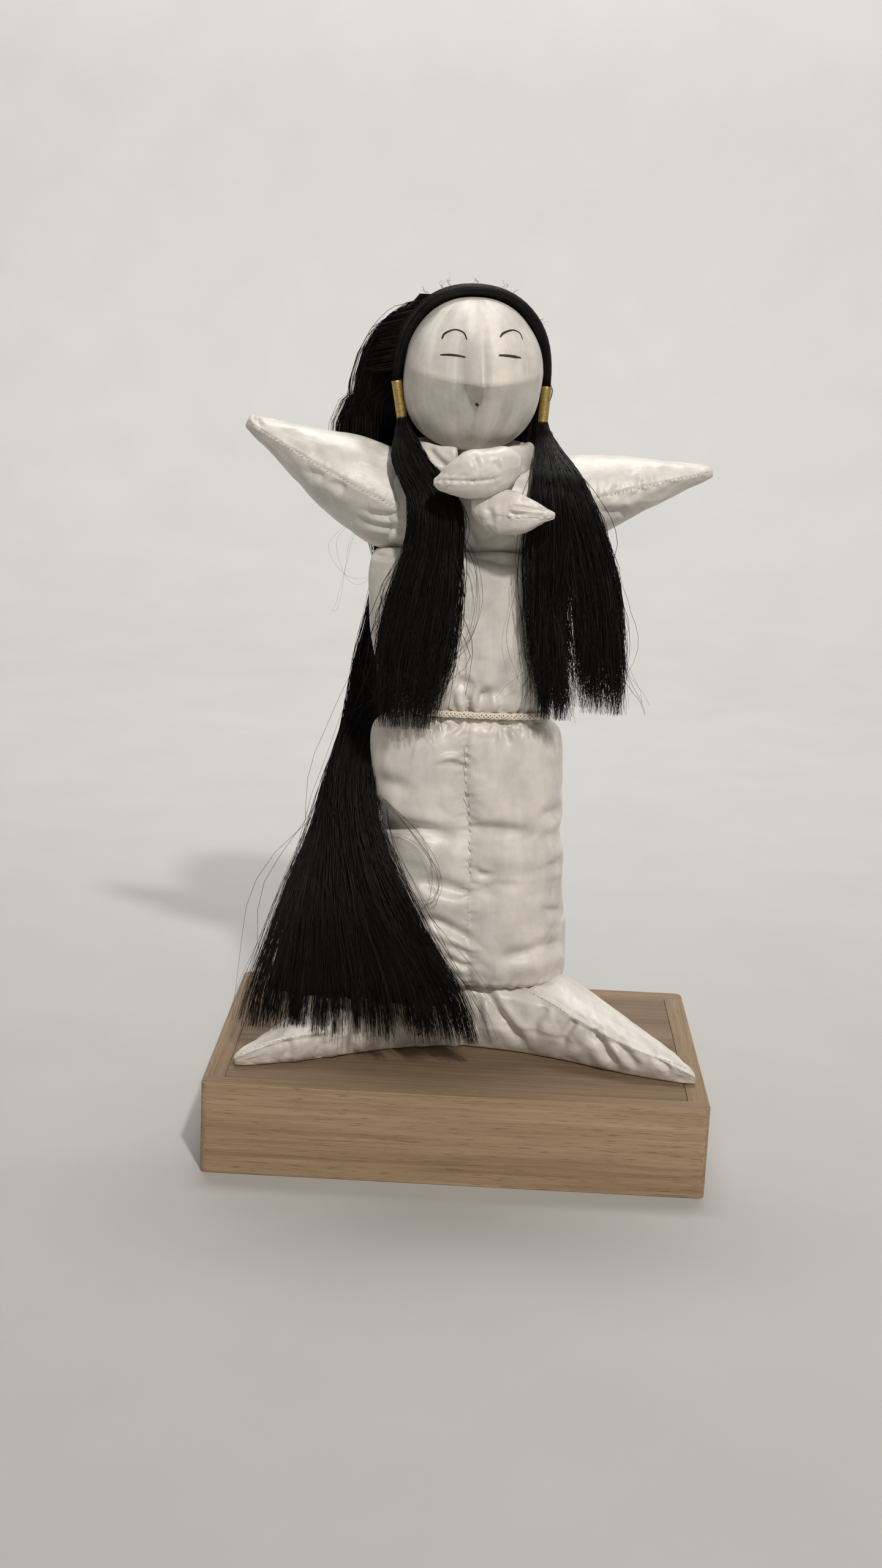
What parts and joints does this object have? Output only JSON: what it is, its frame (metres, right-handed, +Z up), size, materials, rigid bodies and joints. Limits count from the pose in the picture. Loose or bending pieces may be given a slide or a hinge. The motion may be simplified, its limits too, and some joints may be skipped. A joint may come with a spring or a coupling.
{
  "type": "japanese doll",
  "caption": "Stuffed white silk doll with an egg-shaped head, pointed limbs, long black hair held by gold tubes, a waist cord and a neck tie, on a plain wooden stand.",
  "frame": {"origin": "middle of the stand's underside", "axes": "+Z up, the doll faces -Y, and its own left hand points to +X"},
  "size_m": [0.303, 0.21, 0.5258],
  "materials": {
    "stand_wood": "planed, unvarnished",
    "inner_wood": "plain",
    "silk": "satin silk",
    "cord": "braided",
    "hair": "glossy strands",
    "gilt_tube": "satin gilt, rubbed"
  },
  "bodies": {
    "stand": {"stand_front_board": "stand_wood", "stand_back_board": "stand_wood", "stand_right_board": "stand_wood", "stand_left_board": "stand_wood", "stand_top_panel": "stand_wood", "stand_socket_block": "inner_wood", "stand_right_batten": "inner_wood", "stand_left_batten": "inner_wood"},
    "doll": {"spine_post": "inner_wood", "shoulder_block": "inner_wood", "lower_body": "silk", "leg_right": "silk", "leg_left": "silk", "torso": "silk", "shoulders": "silk", "waist_cord": "cord", "waist_cord_knot": "cord", "neck_tie_loop": "silk", "neck_tie_knot": "silk", "neck_tie_upper_end": "silk", "neck_tie_lower_end": "silk", "rear_hair_fall": "hair", "side_lock_right": "hair", "side_lock_left": "hair"},
    "head": {"head_core": "inner_wood", "head_silk": "silk", "neck_stick": "inner_wood", "hair_band": "hair", "gold_tube_right": "gilt_tube", "gold_tube_left": "gilt_tube", "tube_hair_right": "hair", "tube_hair_left": "hair", "rear_hair_crown": "hair"},
    "arm_right": {"arm_right": "silk"},
    "arm_left": {"arm_left": "silk"}
  },
  "joints": [
    {"name": "doll_lift", "type": "slide", "parent": "stand", "child": "doll", "axis": [0, 0, 1], "range_m": [0, 0.05]},
    {"name": "head_turn", "type": "hinge", "parent": "doll", "child": "head", "pos_m": [-0.0114, 0.003, 0.42], "axis": [0, 0, 1], "range_deg": [-15, 15]},
    {"name": "arm_right_lift", "type": "hinge", "parent": "doll", "child": "arm_right", "pos_m": [-0.058, 0.002, 0.3974], "axis": [0, 1, 0], "range_deg": [-10, 10]},
    {"name": "arm_left_lift", "type": "hinge", "parent": "doll", "child": "arm_left", "pos_m": [0.042, 0.002, 0.3974], "axis": [0, -1, 0], "range_deg": [-10, 10]}
  ]
}
